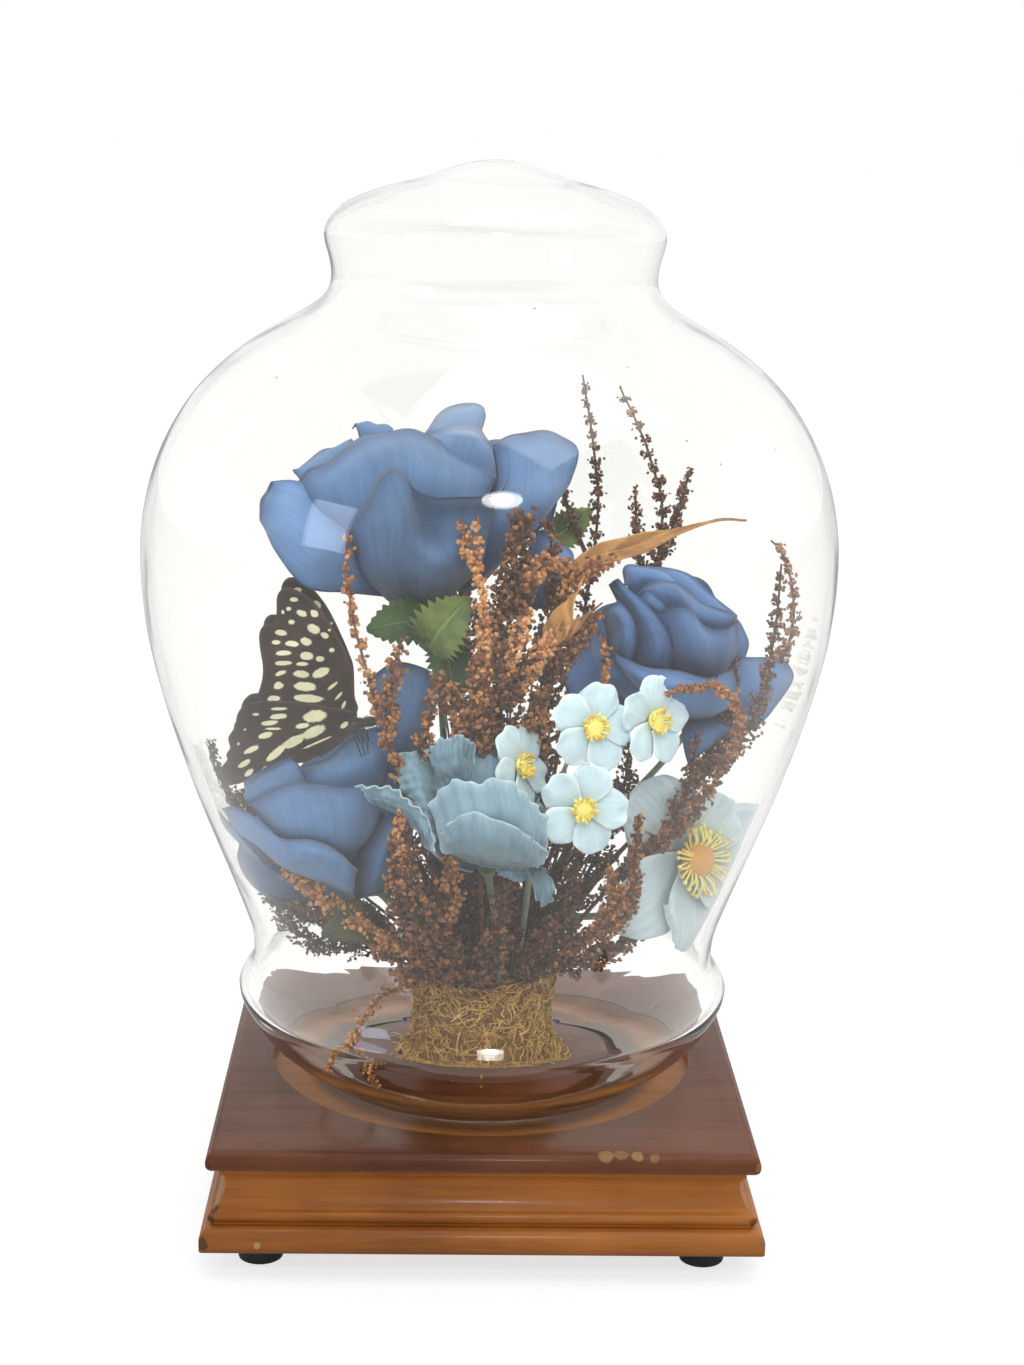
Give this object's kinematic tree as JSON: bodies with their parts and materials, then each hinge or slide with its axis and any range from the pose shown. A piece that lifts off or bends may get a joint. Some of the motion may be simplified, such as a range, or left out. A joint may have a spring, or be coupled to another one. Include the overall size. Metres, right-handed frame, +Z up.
{
  "type": "butterfly in glass dome",
  "caption": "Preserved butterfly among blue silk flowers and dried sprays in moss, under a blown glass dome on a square moulded wooden plinth with rubber feet.",
  "frame": {"origin": "on the table under the middle of the plinth, at the underside of the feet", "axes": "+Z up through the top of the dome, -Y towards the front where the butterfly and the small flowers show, +X to the viewer's right"},
  "size_m": [0.1978, 0.1978, 0.2978],
  "materials": {
    "wood_dark": "dark varnished, satin",
    "wood_brown": "varnished, satin",
    "rubber": "matte",
    "glass": "clear, polished",
    "moss": "rough, dried moss",
    "insect_body": "matte",
    "wing": "matte, scaled, with pale spots",
    "silk_blue": "woven silk, matte",
    "silk_pale": "woven silk, matte",
    "silk_orange": "woven silk, matte",
    "stem_green": "satin",
    "leaf_green": "woven silk, matte",
    "dried_tan": "dry, matte",
    "dried_brown": "dry, rough"
  },
  "bodies": {
    "root": {"plinth_top": "wood_dark", "plinth_moulding": "wood_brown", "plinth_base": "wood_brown", "foot_front_left": "rubber", "foot_front_right": "rubber", "foot_back_left": "rubber", "foot_back_right": "rubber", "glass_dome": "glass", "moss_column": "moss", "butterfly_body": "insect_body", "forewing_left": "wing", "forewing_right": "wing", "hindwing_left": "wing", "hindwing_right": "wing", "forget_me_not_upper": "silk_pale", "forget_me_not_right": "silk_pale", "forget_me_not_lower": "silk_pale", "forget_me_not_left": "silk_pale", "pale_flower_petals": "silk_pale", "windflower_petals": "silk_pale", "windflower_eye": "silk_orange", "rose_top_outer_petals": "silk_blue", "rose_top_inner_petals": "silk_blue", "rose_top_heart": "silk_blue", "rose_top_stem": "stem_green", "rose_right_outer_petals": "silk_blue", "rose_right_inner_petals": "silk_blue", "rose_right_heart": "silk_blue", "rose_right_stem": "stem_green", "rose_left_outer_petals": "silk_blue", "rose_left_inner_petals": "silk_blue", "rose_left_heart": "silk_blue", "rose_left_stem": "stem_green", "pale_flower_stem": "stem_green", "windflower_stem": "stem_green", "forget_me_not_stalk": "stem_green", "leaf_under_rose": "leaf_green", "leaf_bright": "leaf_green", "leaf_behind_rose": "leaf_green", "leaf_low": "leaf_green", "dried_leaf_long": "dried_tan", "dried_leaf_short": "dried_tan", "dried_bunch": "dried_brown", "spray_middle": "dried_brown", "spray_middle_left": "dried_brown", "spray_middle_right": "dried_brown", "spray_tall_left": "dried_brown", "spray_tall_right": "dried_brown", "spray_right": "dried_brown", "spray_far_right": "dried_brown", "spray_left": "dried_brown", "spray_low_left": "dried_brown", "spray_low_back": "dried_brown", "spray_far_left": "dried_brown", "spray_low_middle": "dried_brown", "spray_low_right": "dried_brown", "spray_right_front": "dried_brown", "spray_floor": "dried_brown", "spray_back": "dried_brown"}
  },
  "joints": []
}
